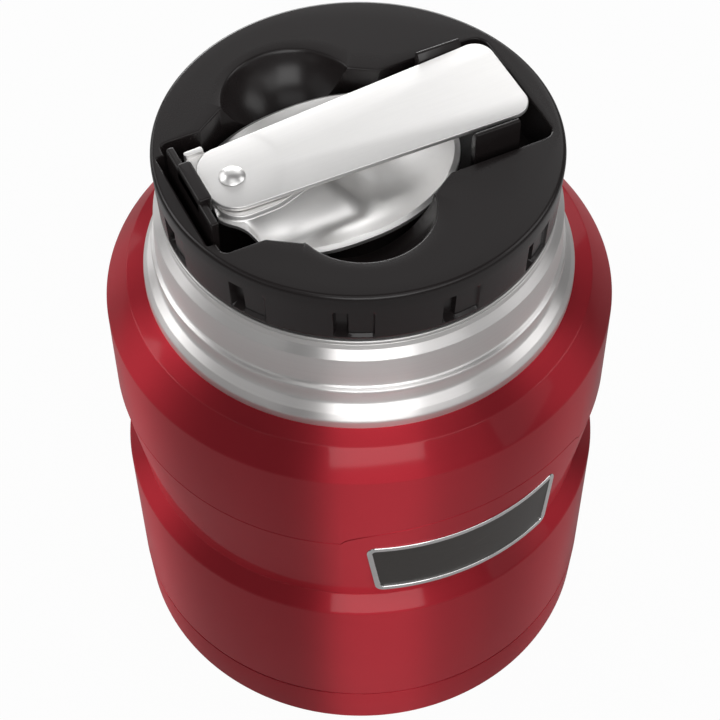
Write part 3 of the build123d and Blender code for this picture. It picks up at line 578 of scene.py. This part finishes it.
# the columns' angles: the pocket's points, the windows' steps, the scoops' ends and an even spread
def capAngles(centre, outline):
    c = cap
    halfWindow, step = c["windowWidth"] / 2 / c["topRadius"], c["windowStep"] / c["topRadius"]
    middles = radians(c["windowAngle"] - 90) + evenTurn(c["windows"])
    ends = np.array([-1.0, 1.0])[:, None] * (halfWindow + np.array([-step, 0, step]))
    inside = np.array([-0.8, -0.5, c["deepTo"], -0.31, c["deepFrom"], 0.1, 0.5, 0.8]) * halfWindow
    between = np.linspace(1.25, 4.35, 7) * halfWindow
    around = (middles[:, None] + np.concatenate([ends.ravel(), inside, between])).ravel()
    onRim = c["topRadius"] * rays(around)
    scoopHalf = sqrt(c["scoopRadius"] ** 2 - (c["cheekY"] - c["scoopY"]) ** 2)
    scoopEnds = [(c["scoopX"] + s * scoopHalf, t * c["cheekY"]) for s in (1, -1) for t in (1, -1)]
    marks = np.concatenate([outline, onRim, scoopEnds]) - centre
    even = np.linspace(-pi, pi, c["columns"], endpoint=False)
    angle = np.sort(np.concatenate([np.arctan2(marks[:, 1], marks[:, 0]), even]))
    return angle[np.concatenate([[True], np.diff(angle) > 1e-4])]


# a window is pushed in along the radius, deep at one end and shallow over the rest
def pressWindows(side):
    c = cap
    x, y, z = (side[..., k] for k in range(3))
    pitch, half, soft = 2 * pi / c["windows"], c["windowWidth"] / 2, c["windowSoft"]
    off = (np.arctan2(y, x) - radians(c["windowAngle"] - 90) + pitch / 2) % pitch - pitch / 2
    across = off * c["topRadius"]
    inWindow = smoothStep(half + soft, half - soft, np.abs(across))
    inWindow *= smoothStep(c["windowHighZ"] + soft, c["windowHighZ"] - soft, z)
    inWindow *= smoothStep(c["windowLowZ"] - soft, c["windowLowZ"] + soft, z)
    deep = smoothStep(c["deepFrom"] * half, c["deepTo"] * half, across)
    depth = (c["windowShallow"] + (c["windowDepth"] - c["windowShallow"]) * deep) * inWindow
    side[..., :2] *= (1 - depth / np.hypot(x, y))[..., None]


# the columns run out from a point on the slot's middle line: floor, pocket wall, scoop, top plate, rounded
# edge, side with its windows, then back under the plate. each line is how far it lies out, and its height
def makeStopperCap():
    c = cap
    centre = np.array([c["centreX"], 0.0])
    outline = pocketOutline()
    angle = capAngles(centre, outline)
    direction = rays(angle)
    wall = rayReach(centre, direction, outline)
    scoop = wall.copy()
    for side in (1, -1):
        reach = rayToCircle(centre, direction, np.array([c["scoopX"], side * c["scoopY"]]), c["scoopRadius"])
        scoop = np.where(direction[:, 1] * side > 0, np.maximum(scoop, reach), scoop)
    outer, outerLow, ring = (rayToCircle(centre, direction, np.zeros(2), c[key])
                             for key in ("topRadius", "bottomRadius", "ring"))
    ball = (c["scoopRadius"] ** 2 + c["scoopDepth"] ** 2) / (2 * c["scoopDepth"])
    ballZ = c["topZ"] + ball - c["scoopDepth"]

    def plan(reach):
        return centre + direction * reach[:, None]

    def scoopZ(reach):
        x, y = plan(reach).T
        off = (x - c["scoopX"]) ** 2 + (np.abs(y) - c["scoopY"]) ** 2
        return np.minimum(ballZ - np.sqrt(np.maximum(ball ** 2 - off, 0)), c["topZ"])

    lines = [(wall * share, cradleHeight(*plan(wall * share).T)) for share in np.linspace(0, 1, 26)]
    hasScoop = scoop > wall + 1e-3
    wallTop = np.where(hasScoop, scoopZ(wall), c["topZ"])
    scoopRound = np.minimum(c["scoopEdge"], np.maximum(wallTop - c["floorZ"], 0) * c["wallShare"])
    size = np.where(hasScoop, scoopRound, c["rimRound"])
    lines.append((wall, wallTop - size))
    for a in quarter(5, 0.25):
        reach, height = wall + size * (1 - cos(a)), wallTop - size * (1 - sin(a))
        lines.append((reach, np.where(hasScoop, np.maximum(height, scoopZ(reach)), height)))
    start = lines[-1][0]
    inner = np.where(hasScoop, np.maximum(scoop - c["rimRound"] * c["rimIn"], start), start)
    for share in np.linspace(0.06, 1, 16):
        reach = start + (inner - start) * share
        lines.append((reach, np.where(hasScoop, scoopZ(reach), c["topZ"])))
    edgeIn, edgeZ = lines[-1]
    edgeOut = np.where(hasScoop, scoop + c["rimRound"] * c["rimOut"], edgeIn)
    for share in (0.3, 0.65, 1.0):
        rise = (c["topZ"] - edgeZ) * (1 - (1 - share) ** 2)
        lines.append((edgeIn + (edgeOut - edgeIn) * share, edgeZ + rise))
    for share in (0.25, 0.5, 0.75):
        lines.append((edgeOut + (outer - c["edge"] - edgeOut) * share, c["topZ"]))
    for a in quarter(8):
        lines.append((outer - c["edge"] * (1 - sin(a)), c["topZ"] - c["edge"] * (1 - cos(a))))
    sideStart, sideTop = len(lines), c["topZ"] - c["edge"]
    step = np.array([1, 0, -1]) * c["windowStep"]
    high, low, inside = c["windowHighZ"], c["windowLowZ"], c["windowInside"]
    sideZ = np.concatenate([[high + c["windowAbove"]], high + step, np.linspace(high - inside, low + inside, 5),
                            low + step, [c["bottomZ"] + c["foot"]]])
    for z in sideZ:
        lines.append((outer + (outerLow - outer) * (sideTop - z) / (sideTop - c["bottomZ"]), z))
    lines += [(outerLow - c["footInset"], c["bottomZ"]), (ring, c["bottomZ"])]
    for share in np.linspace(0.96, 0, 20):
        under = cradleHeight(*plan(ring * share).T) - c["underside"]
        lines.append((ring * share, np.minimum(under, c["bottomZ"])))
    grid = np.zeros((len(lines), len(angle), 3))
    for k, (reach, height) in enumerate(lines):
        grid[k, :, :2] = plan(reach)
        grid[k, :, 2] = height
    pressWindows(grid[sideStart:sideStart + len(sideZ)])
    grids = [{"points": grid}] + latchGrids() + clipGrids()
    pieceFromGrids("stopperCap", grids, "stopper", "stopper_cap", "blackPlastic", 40)


latch = dict(
    wallX=-30.1, wall=1.4, halfWidth=9.8, topZ=124.7, round=0.4, noseX=-29.05, noseHalfWidth=4.8,
    noseTopZ=125.6, noseHeight=3.0, noseRound=0.5, edge=0.35, sunk=0.5)
clip = dict(
    x=16.65, length=8.8, y=10.0, wall=1.6, crest=0.2, crestInset=0.5, topZ=125.6, lead=1.3, edge=0.3,
    endShare=0.25, sunk=0.5)


# a block from a rounded outline in plan: straight sides, then a rounded top edge that ends in a flat top
def blockGrid(corners, rounding, lowZ, highZ, edge):
    middle = np.mean(corners, 0)
    outline = roundedLoop(corners, [rounding] * len(corners), 5)
    rows = [(0.0, lowZ, 0.0), (0.0, lowZ, 1.0)]
    rows += [(edge * (1 - cos(a)), highZ - edge * (1 - sin(a)), 1.0) for a in quarter(6)]
    rows.append((edge, highZ, 0.0))
    span = outline - middle
    half = np.abs(span).max(0)
    grid = []
    for inset, z, share in rows:
        shrunk = middle + span * share * (half - inset) / half
        grid.append(np.concatenate([shrunk, np.full((len(outline), 1), z)], 1))
    return {"points": np.stack(grid)}


def rectangle(left, right, low, high):
    return [(left, low), (right, low), (right, high), (left, high)]


def latchGrids():
    l = latch
    back, half, noseHalf = l["wallX"] - l["wall"], l["halfWidth"], l["noseHalfWidth"]
    wall, nose = rectangle(back, l["wallX"], -half, half), rectangle(back, l["noseX"], -noseHalf, noseHalf)
    return [blockGrid(wall, l["round"], cap["floorZ"] - l["sunk"], l["topZ"], l["edge"]),
            blockGrid(nose, l["noseRound"], l["noseTopZ"] - l["noseHeight"], l["noseTopZ"], l["edge"])]


# each clip is its end outline, rounded, carried along X; the two ends close on the outline's middle
def clipGrids():
    k = clip
    low, back, ends = cap["floorZ"] - k["sunk"], k["y"] + k["wall"], k["endShare"]
    half = [(k["y"], low), (k["y"], k["topZ"] - k["lead"]), (back - k["crest"] - k["crestInset"], k["topZ"]),
            (back, k["topZ"]), (back, low)]
    rows = [(0.0, 0.0), (0.0, 1 - ends)]
    rows += [(k["edge"] * (1 - cos(a)), 1 - ends * (1 - sin(a))) for a in quarter(4)]
    rows += [(k["length"] - x, share) for x, share in rows[::-1]]
    grids = []
    for side in (1, -1):
        outline = roundedLoop([(side * y, z) for y, z in half], [0.0, 0.5, 0.3, 0.4, 0.0], 5)
        middle = outline.mean(0)
        grid = []
        for x, share in rows:
            shrunk = middle + (outline - middle) * share
            grid.append(np.stack([np.full(len(outline), k["x"] + x), *shrunk.T], -1))
        grids.append({"points": np.stack(grid)})
    return grids


plug = dict(
    radius=32.6, wall=1.8, bottomZ=86.0, topZ=110.3, lowRadius=31.6, grooveRadius=31.0, grooveLowZ=91.4,
    grooveHighZ=94.5, round=3.0)
gasket = dict(innerRadius=31.3, radius=33.1, lowRadius=32.1, topZ=94.2, height=2.5, chamferZ=93.2)


# the plug's ridges run half a pitch above the mouth's
def makePlug():
    p = plug
    inner, upper, floorTop = p["grooveRadius"] - p["wall"], p["radius"] - p["wall"], p["bottomZ"] + p["wall"]
    corners = [
        (0, p["bottomZ"], 0.0), (p["lowRadius"], p["bottomZ"], p["round"]),
        (p["lowRadius"], p["grooveLowZ"], 0.2),
        (p["grooveRadius"], p["grooveLowZ"], 0.1), (p["grooveRadius"], p["grooveHighZ"], 0.1),
        (p["radius"], p["grooveHighZ"], 0.4), (p["radius"], p["topZ"], 0.0), (upper, p["topZ"], 0.0),
        (upper, p["grooveHighZ"] + p["wall"], 0.3), (inner, p["grooveHighZ"], 0.3), (inner, floorTop, 1.0),
        (0, floorTop, 0.0),
    ]
    grids = [turnedGrid(corners, 7, closed=False)]
    grids += threadGrids(thread["plugWall"], thread["plugCrest"], thread["wallZ"] + thread["plugShift"])
    pieceFromGrids("stopperPlug", grids, "stopper", "stopper_plug", "blackPlastic")


def makeGasket():
    g = gasket
    low = g["topZ"] - g["height"]
    corners = [
        (g["innerRadius"], low, 0.3), (g["lowRadius"], low, 0.3), (g["radius"], g["chamferZ"], 0.5),
        (g["radius"], g["topZ"], 0.5), (g["innerRadius"], g["topZ"], 0.3),
    ]
    grid = turnedGrid(corners, 6, columns=300)
    pieceFromGrids("stopperGasket", [grid], "gasket", "stopper_gasket", "silicone")


makeStopperCap()
makePlug()
makeGasket()


handle = dict(
    rivetX=-23.55, rivetZ=123.55, tilt=1.95, tail=5.2, reach=52.9, rootWidth=14.3, tipWidth=19.6,
    tailCorner=5.4, tipCorner=3.6, thickness=1.0, edge=0.22, hole=1.65)
rivet = dict(
    radius=1.6, headRadius=2.3, headHeight=0.95, gap=0.1, foot=-2.05, footHead=0.45, underHead=0.05,
    columns=96)
pad = dict(
    top=-1.15, tail=4.8, heelRun=1.1, halfWidth=8.3, corner=5.4, shoulder=5.0, shoulderRound=9.0, tongue=15.0,
    tongueHalfWidth=5.2, tongueRound=4.0, step=0.85, stepRun=0.5, steepest=2.6, band=0.36, bandShare=0.9,
    merge=24, heelFade=2.2, tabLength=3.4, tabY=8.0, tabWall=1.1, tabAbove=0.95, tabRoot=4.0, tabLift=0.2,
    tabRound=0.3, tabEdge=0.2)


# from the handle's own frame (along, across, up from the rivet) to the jar's
def handlePoints(along, across, up):
    t = radians(handle["tilt"])
    along, across, up = np.broadcast_arrays(along, across, up)
    return np.stack([handle["rivetX"] + along * cos(t) - up * sin(t), across,
                     handle["rivetZ"] + along * sin(t) + up * cos(t)], -1)


# the plate lies between its rivet hole and its outline; every section has the same rounded edges
def makeHandle():
    h = handle
    outline = denseOutline(mirroredLoop([(-h["tail"], -h["rootWidth"] / 2, h["tailCorner"]),
                                         (h["reach"], -h["tipWidth"] / 2, h["tipCorner"])], 20), 3, 24)
    ahead = np.roll(outline, -1, 0) - np.roll(outline, 1, 0)
    outward = np.stack([ahead[:, 1], -ahead[:, 0]], -1)
    outward /= np.linalg.norm(outward, axis=1, keepdims=True)
    hole = outline / np.linalg.norm(outline, axis=1, keepdims=True) * h["hole"]
    edge, under, turn = h["edge"], -h["thickness"], quarter(5)
    rows = [(hole, 0.0)]
    rows += [(outline - outward * (edge * (1 - sin(a))), -edge * (1 - cos(a))) for a in turn]
    rows += [(outline - outward * (edge * (1 - cos(a))), under + edge - edge * sin(a)) for a in turn]
    rows.append((hole, under))
    grid = {"points": np.stack([handlePoints(*points.T, up) for points, up in rows]), "wrapRows": True}
    pieceFromGrids("spoonHandle", [grid], "handle", "spoon_handle", "spoonSteel")


# a domed head, the shank and a flat foot, as radii and heights turned about the rivet's own axis
def makeRivet():
    r = rivet
    dome = (r["headRadius"] ** 2 + r["headHeight"] ** 2) / (2 * r["headHeight"])
    sweep = np.arcsin(r["headRadius"] / dome)
    footEnd, top = r["foot"] - r["footHead"], r["gap"] + r["headHeight"]
    steps = [(dome * sin(a), top - dome * (1 - cos(a))) for a in np.linspace(0, sweep, 14)]
    steps += [(r["headRadius"] - r["underHead"], r["gap"]), (r["radius"], r["gap"]), (r["radius"], r["foot"]),
              (r["headRadius"], r["foot"]), (r["headRadius"], footEnd), (0, footEnd)]
    steps = np.array(steps)
    angle = evenTurn(r["columns"])
    grid = handlePoints(steps[:, :1] * np.cos(angle), steps[:, :1] * np.sin(angle), steps[:, 1:])
    pieceFromGrids("spoonRivet", [{"points": grid}], "spoon", "spoon_rivet", "rivetSteel")


# the rivet pad in plan, from the rivet: wide beside it, with a tongue that runs out into the bowl
def padOutline():
    p = pad
    return mirroredLoop([
        (-p["tail"], -p["halfWidth"], p["corner"]), (p["shoulder"], -p["halfWidth"], p["shoulderRound"]),
        (p["tongue"], -p["tongueHalfWidth"], p["tongueRound"])], 12)


# how far rays from the rivet run to the bowl's rim, |x / a| ** power + |y / b| ** power = 1, found by halving
def rimReach(direction):
    b = bowl
    low, high = np.zeros(len(direction)), np.full(len(direction), b["farthest"])
    for _ in range(b["halvings"]):
        middle = (low + high) / 2
        along = (handle["rivetX"] - b["x"] + direction[:, 0] * middle) / b["halfLength"]
        across = direction[:, 1] * middle / b["halfWidth"]
        power = np.where(along < 0, b["heelPower"], 2.0)
        inside = np.abs(along) ** power + np.abs(across) ** power < 1
        low, high = np.where(inside, middle, low), np.where(inside, high, middle)
    return low


# the columns are rays from the rivet: over the pad, down a small step at its edge, through the bowl, over the
# level edge of the sheet, and back underneath. between the step and the rim a ray hangs below its chord by
# sag * 4 t (1 - t) (1 + shift (1 - 2 t)), deepest nearer the pad, and longer rays sag deeper
def makeSpoonBowl():
    b, p, tilt = bowl, pad, radians(handle["tilt"])
    angle = evenTurn(b["columns"])
    direction = rays(angle)
    padReach = rayReach(np.zeros(2), direction, padOutline())
    # at the heel the sheet stands a little outside the pad, but no further back than the handle
    back = handle["tail"] / np.maximum(-direction[:, 0], 1e-6)
    heel = np.maximum(padReach, np.minimum(padReach + p["heelRun"], back))
    outer = (rimReach(direction) ** p["merge"] + heel ** p["merge"]) ** (1 / p["merge"])
    last = outer - b["edge"]
    # the sheet keeps a narrow band between the step and its edge all round, most of it inside the rim
    stepEnd, share = np.minimum(padReach + p["stepRun"], last - p["band"]), p["bandShare"]
    inner = np.clip(outer - b["rimWidth"], stepEnd + share * p["band"], last - (1 - share) * p["band"])

    def padHeight(reach):
        return handle["rivetZ"] + p["top"] / cos(tilt) + direction[:, 0] * reach * tan(tilt)

    def stepHeight(reach):
        return padHeight(reach) - p["step"] * smoothStep(0, p["stepRun"], reach - padReach)

    run, start = inner - stepEnd, stepHeight(stepEnd)
    rim = b["rimZ"] - (handle["rivetX"] + direction[:, 0] * inner - b["x"]) * tan(radians(b["tilt"]))
    end = rim + (start - rim) * np.exp(-(run / p["heelFade"]) ** 2)
    sag = b["sag"] * (run / b["sagRun"]) ** b["sagPower"]
    lines = [(padReach * share, padHeight(padReach * share)) for share in np.linspace(0, 0.95, 8)]
    for share in np.linspace(-0.2, 1, 14):
        reach = np.minimum(padReach + p["stepRun"] * share, stepEnd)
        lines.append((reach, stepHeight(reach)))
    for t in np.linspace(0, 1, b["rows"])[1:]:
        hang = sag * 4 * t * (1 - t) * (1 + b["sagShift"] * (1 - 2 * t))
        lines.append((stepEnd + run * t, start + (end - start) * t - hang))
    for t in (0.1, 0.4, 0.7, 1.0):
        lines.append((inner + (last - inner) * t, end - b["rimSlope"] * (last - inner) * t))
    reaches, heights = np.stack(lines, 1)
    # underneath, the sheet's thickness is measured square to its slope
    slope = np.gradient(heights, axis=0) / np.maximum(np.gradient(reaches, axis=0), b["smallestStep"])
    slope = slope * smoothStep(0, b["thinRun"], reaches - stepEnd)
    under = heights - b["sheet"] * np.sqrt(1 + np.clip(slope, -p["steepest"], p["steepest"]) ** 2)
    gap = under - cradleHeight(handle["rivetX"] + direction[:, 0] * reaches, direction[:, 1] * reaches)
    print("spoon over its cradle", round(float(gap.min()), 2), "mm")
    turn = quarter(5)[1:]
    edgeReach = np.stack([last + b["edge"] * sin(a) for a in turn] + [outer])
    edgeHeight = np.stack([heights[-1] - b["edge"] * (1 - cos(a)) for a in turn] + [under[-1] + b["edge"]])
    reaches = np.concatenate([reaches, edgeReach, reaches[::-1]])
    heights = np.concatenate([heights, edgeHeight, under[::-1]])
    grid = np.stack([handle["rivetX"] + direction[:, 0] * reaches, direction[:, 1] * reaches, heights], -1)
    grids = [{"points": grid}] + tabGrids()
    pieceFromGrids("spoonBowl", grids, "spoon", "spoon_bowl", "bowlSteel")


# the stop tab: an ear of the pad's sheet beside the handle's tail, and its upturned end
def tabGrids():
    p = pad
    start, end, far = -handle["tail"], p["tabLength"] - handle["tail"], p["tabY"] + p["tabWall"]
    low = p["top"] - bowl["sheet"]
    blocks = []
    for near, lowZ, highZ in ((p["tabY"] - p["tabRoot"], low, p["top"]),
                              (p["tabY"], low + p["tabLift"], p["top"] + p["tabAbove"])):
        block = blockGrid(rectangle(start, end, near, far), p["tabRound"], lowZ, highZ, p["tabEdge"])
        blocks.append({"points": handlePoints(*np.moveaxis(block["points"], -1, 0))})
    return blocks


makeHandle()
makeRivet()
makeSpoonBowl()

# the pieces inside keep their plain solids and get a material
hidden = dict(vacuum_plate="linerSteel", vacuum_seal="sealBead", getter="getterMetal",
              radiation_foil="brightFoil", stopper_foam="whiteFoam")
for nodeName, look in hidden.items():
    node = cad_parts[nodeName]
    if not node.data.materials:
        node.data.materials.append(materials[look])
    for slot in node.material_slots:
        slot.material = materials[look]
print("pieces ready")


camera = dict(
    position=(-103.1, -216.1, 363.1), turn=-25.515, down=51.63, roll=-0.439, lens=98.215, sensor=36,
    nearest=0.01)
studio = dict(
    floorColour=0.40, floorRoughness=0.9, floorSize=4.0, floorGlow=0.97, floorMirrored=0.05, ambient=0.10,
    backdropMirrored=0.04, target=(0, 0, 0.08), distance=1.0)
# each box: azimuth and elevation in degrees as seen from the jar, width and height in metres, brightness
lamps = dict(
    frontBox=(251, 36, 0.62, 0.50, 3.7), frontRight=(286, 38, 0.36, 0.45, 1.8),
    rightFill=(312, 26, 0.50, 0.60, 0.6), rightBox=(342, 36, 0.40, 0.50, 2.1),
    backRight=(38, 34, 0.35, 0.45, 1.1), backBox=(70, 12, 0.70, 0.42, 6.4),
    overhead=(68, 50, 0.80, 0.60, 0.55), overCamera=(246, 72, 0.70, 0.35, 1.1),
    backLeft=(112, 18, 0.35, 0.45, 1.4), leftBox=(138, 37, 0.42, 0.50, 3.1),
    leftFill=(182, 38, 0.80, 0.45, 0.5))


# the plain shading gives way to white by one share where it is seen, and by another where metal mirrors it
def mixWhite(tree, seen, mirrored, plain, white, output):
    glossy = addNode(tree, "LightPath").outputs["Is Glossy Ray"]
    share = addMath(tree, "MULTIPLY_ADD", glossy, mirrored, seen)
    mixed = addNode(tree, "MixShader", i0=share, i1=plain.outputs[0], i2=white.outputs[0])
    tree.links.new(mixed.outputs[0], tree.nodes[output].inputs["Surface"])


def makeFloor():
    side = studio["floorSize"] / 2
    mesh = bpy.data.meshes.new("floor")
    mesh.from_pydata([(x, y, 0) for x, y in rectangle(-side, side, -side, side)], [], [(0, 1, 2, 3)])
    floor = addObject("floor", mesh)
    material = bpy.data.materials.new("floorPaper")
    material.use_nodes = True
    tree = material.node_tree
    surface = tree.nodes["Principled BSDF"]
    surface.inputs["Base Color"].default_value = (studio["floorColour"],) * 3 + (1,)
    surface.inputs["Roughness"].default_value = studio["floorRoughness"]
    glow = addNode(tree, "Emission", Color=(1, 1, 1, 1), Strength=1.0)
    path = addNode(tree, "LightPath").outputs
    seen = addMath(tree, "MULTIPLY", path["Is Camera Ray"], studio["floorGlow"])
    mixWhite(tree, seen, studio["floorMirrored"], surface, glow, "Material Output")
    mesh.materials.append(material)


# white to the eye and through clear pieces, mirrored dimly by metal, and a faint light on the jar
def makeBackdrop():
    world = bpy.data.worlds.new("studio")
    bpy.context.scene.world = world
    world.use_nodes = True
    tree = world.node_tree
    dim = tree.nodes["Background"]
    dim.inputs["Strength"].default_value = studio["ambient"]
    dim.inputs["Color"].default_value = (1, 1, 1, 1)
    white = addNode(tree, "Background", Color=(1, 1, 1, 1), Strength=1.0)
    path = addNode(tree, "LightPath").outputs
    seen = addMath(tree, "MAXIMUM", path["Is Camera Ray"], path["Is Transmission Ray"])
    mixWhite(tree, seen, studio["backdropMirrored"], dim, white, "World Output")


def makeLamps():
    for name, (azimuth, elevation, width, tall, brightness) in lamps.items():
        data = bpy.data.lights.new(name, "AREA")
        data.shape = "RECTANGLE"
        data.size, data.size_y = width, tall
        data.energy = brightness * pi * width * tall
        lamp = addObject(name, data)
        a, e = radians(azimuth), radians(elevation)
        away = Vector((cos(a) * cos(e), sin(a) * cos(e), sin(e)))
        lamp.location = Vector(studio["target"]) + away * studio["distance"]
        lamp.rotation_euler = away.to_track_quat("Z", "Y").to_euler()


def makeCamera():
    lens = bpy.data.cameras.new("view")
    lens.lens = camera["lens"]
    lens.sensor_width = camera["sensor"]
    lens.clip_start = camera["nearest"]
    viewer = addObject("view", lens)
    placed = Matrix.Translation(Vector(camera["position"]) * mm)
    for degrees, axis in ((camera["turn"], "Z"), (90 - camera["down"], "X"), (camera["roll"], "Z")):
        placed = placed @ Matrix.Rotation(radians(degrees), 4, axis)
    viewer.matrix_world = placed
    bpy.context.scene.camera = viewer
    bpy.context.scene.view_settings.view_transform = "Standard"


makeFloor()
makeBackdrop()
makeLamps()
makeCamera()
print("stage ready")
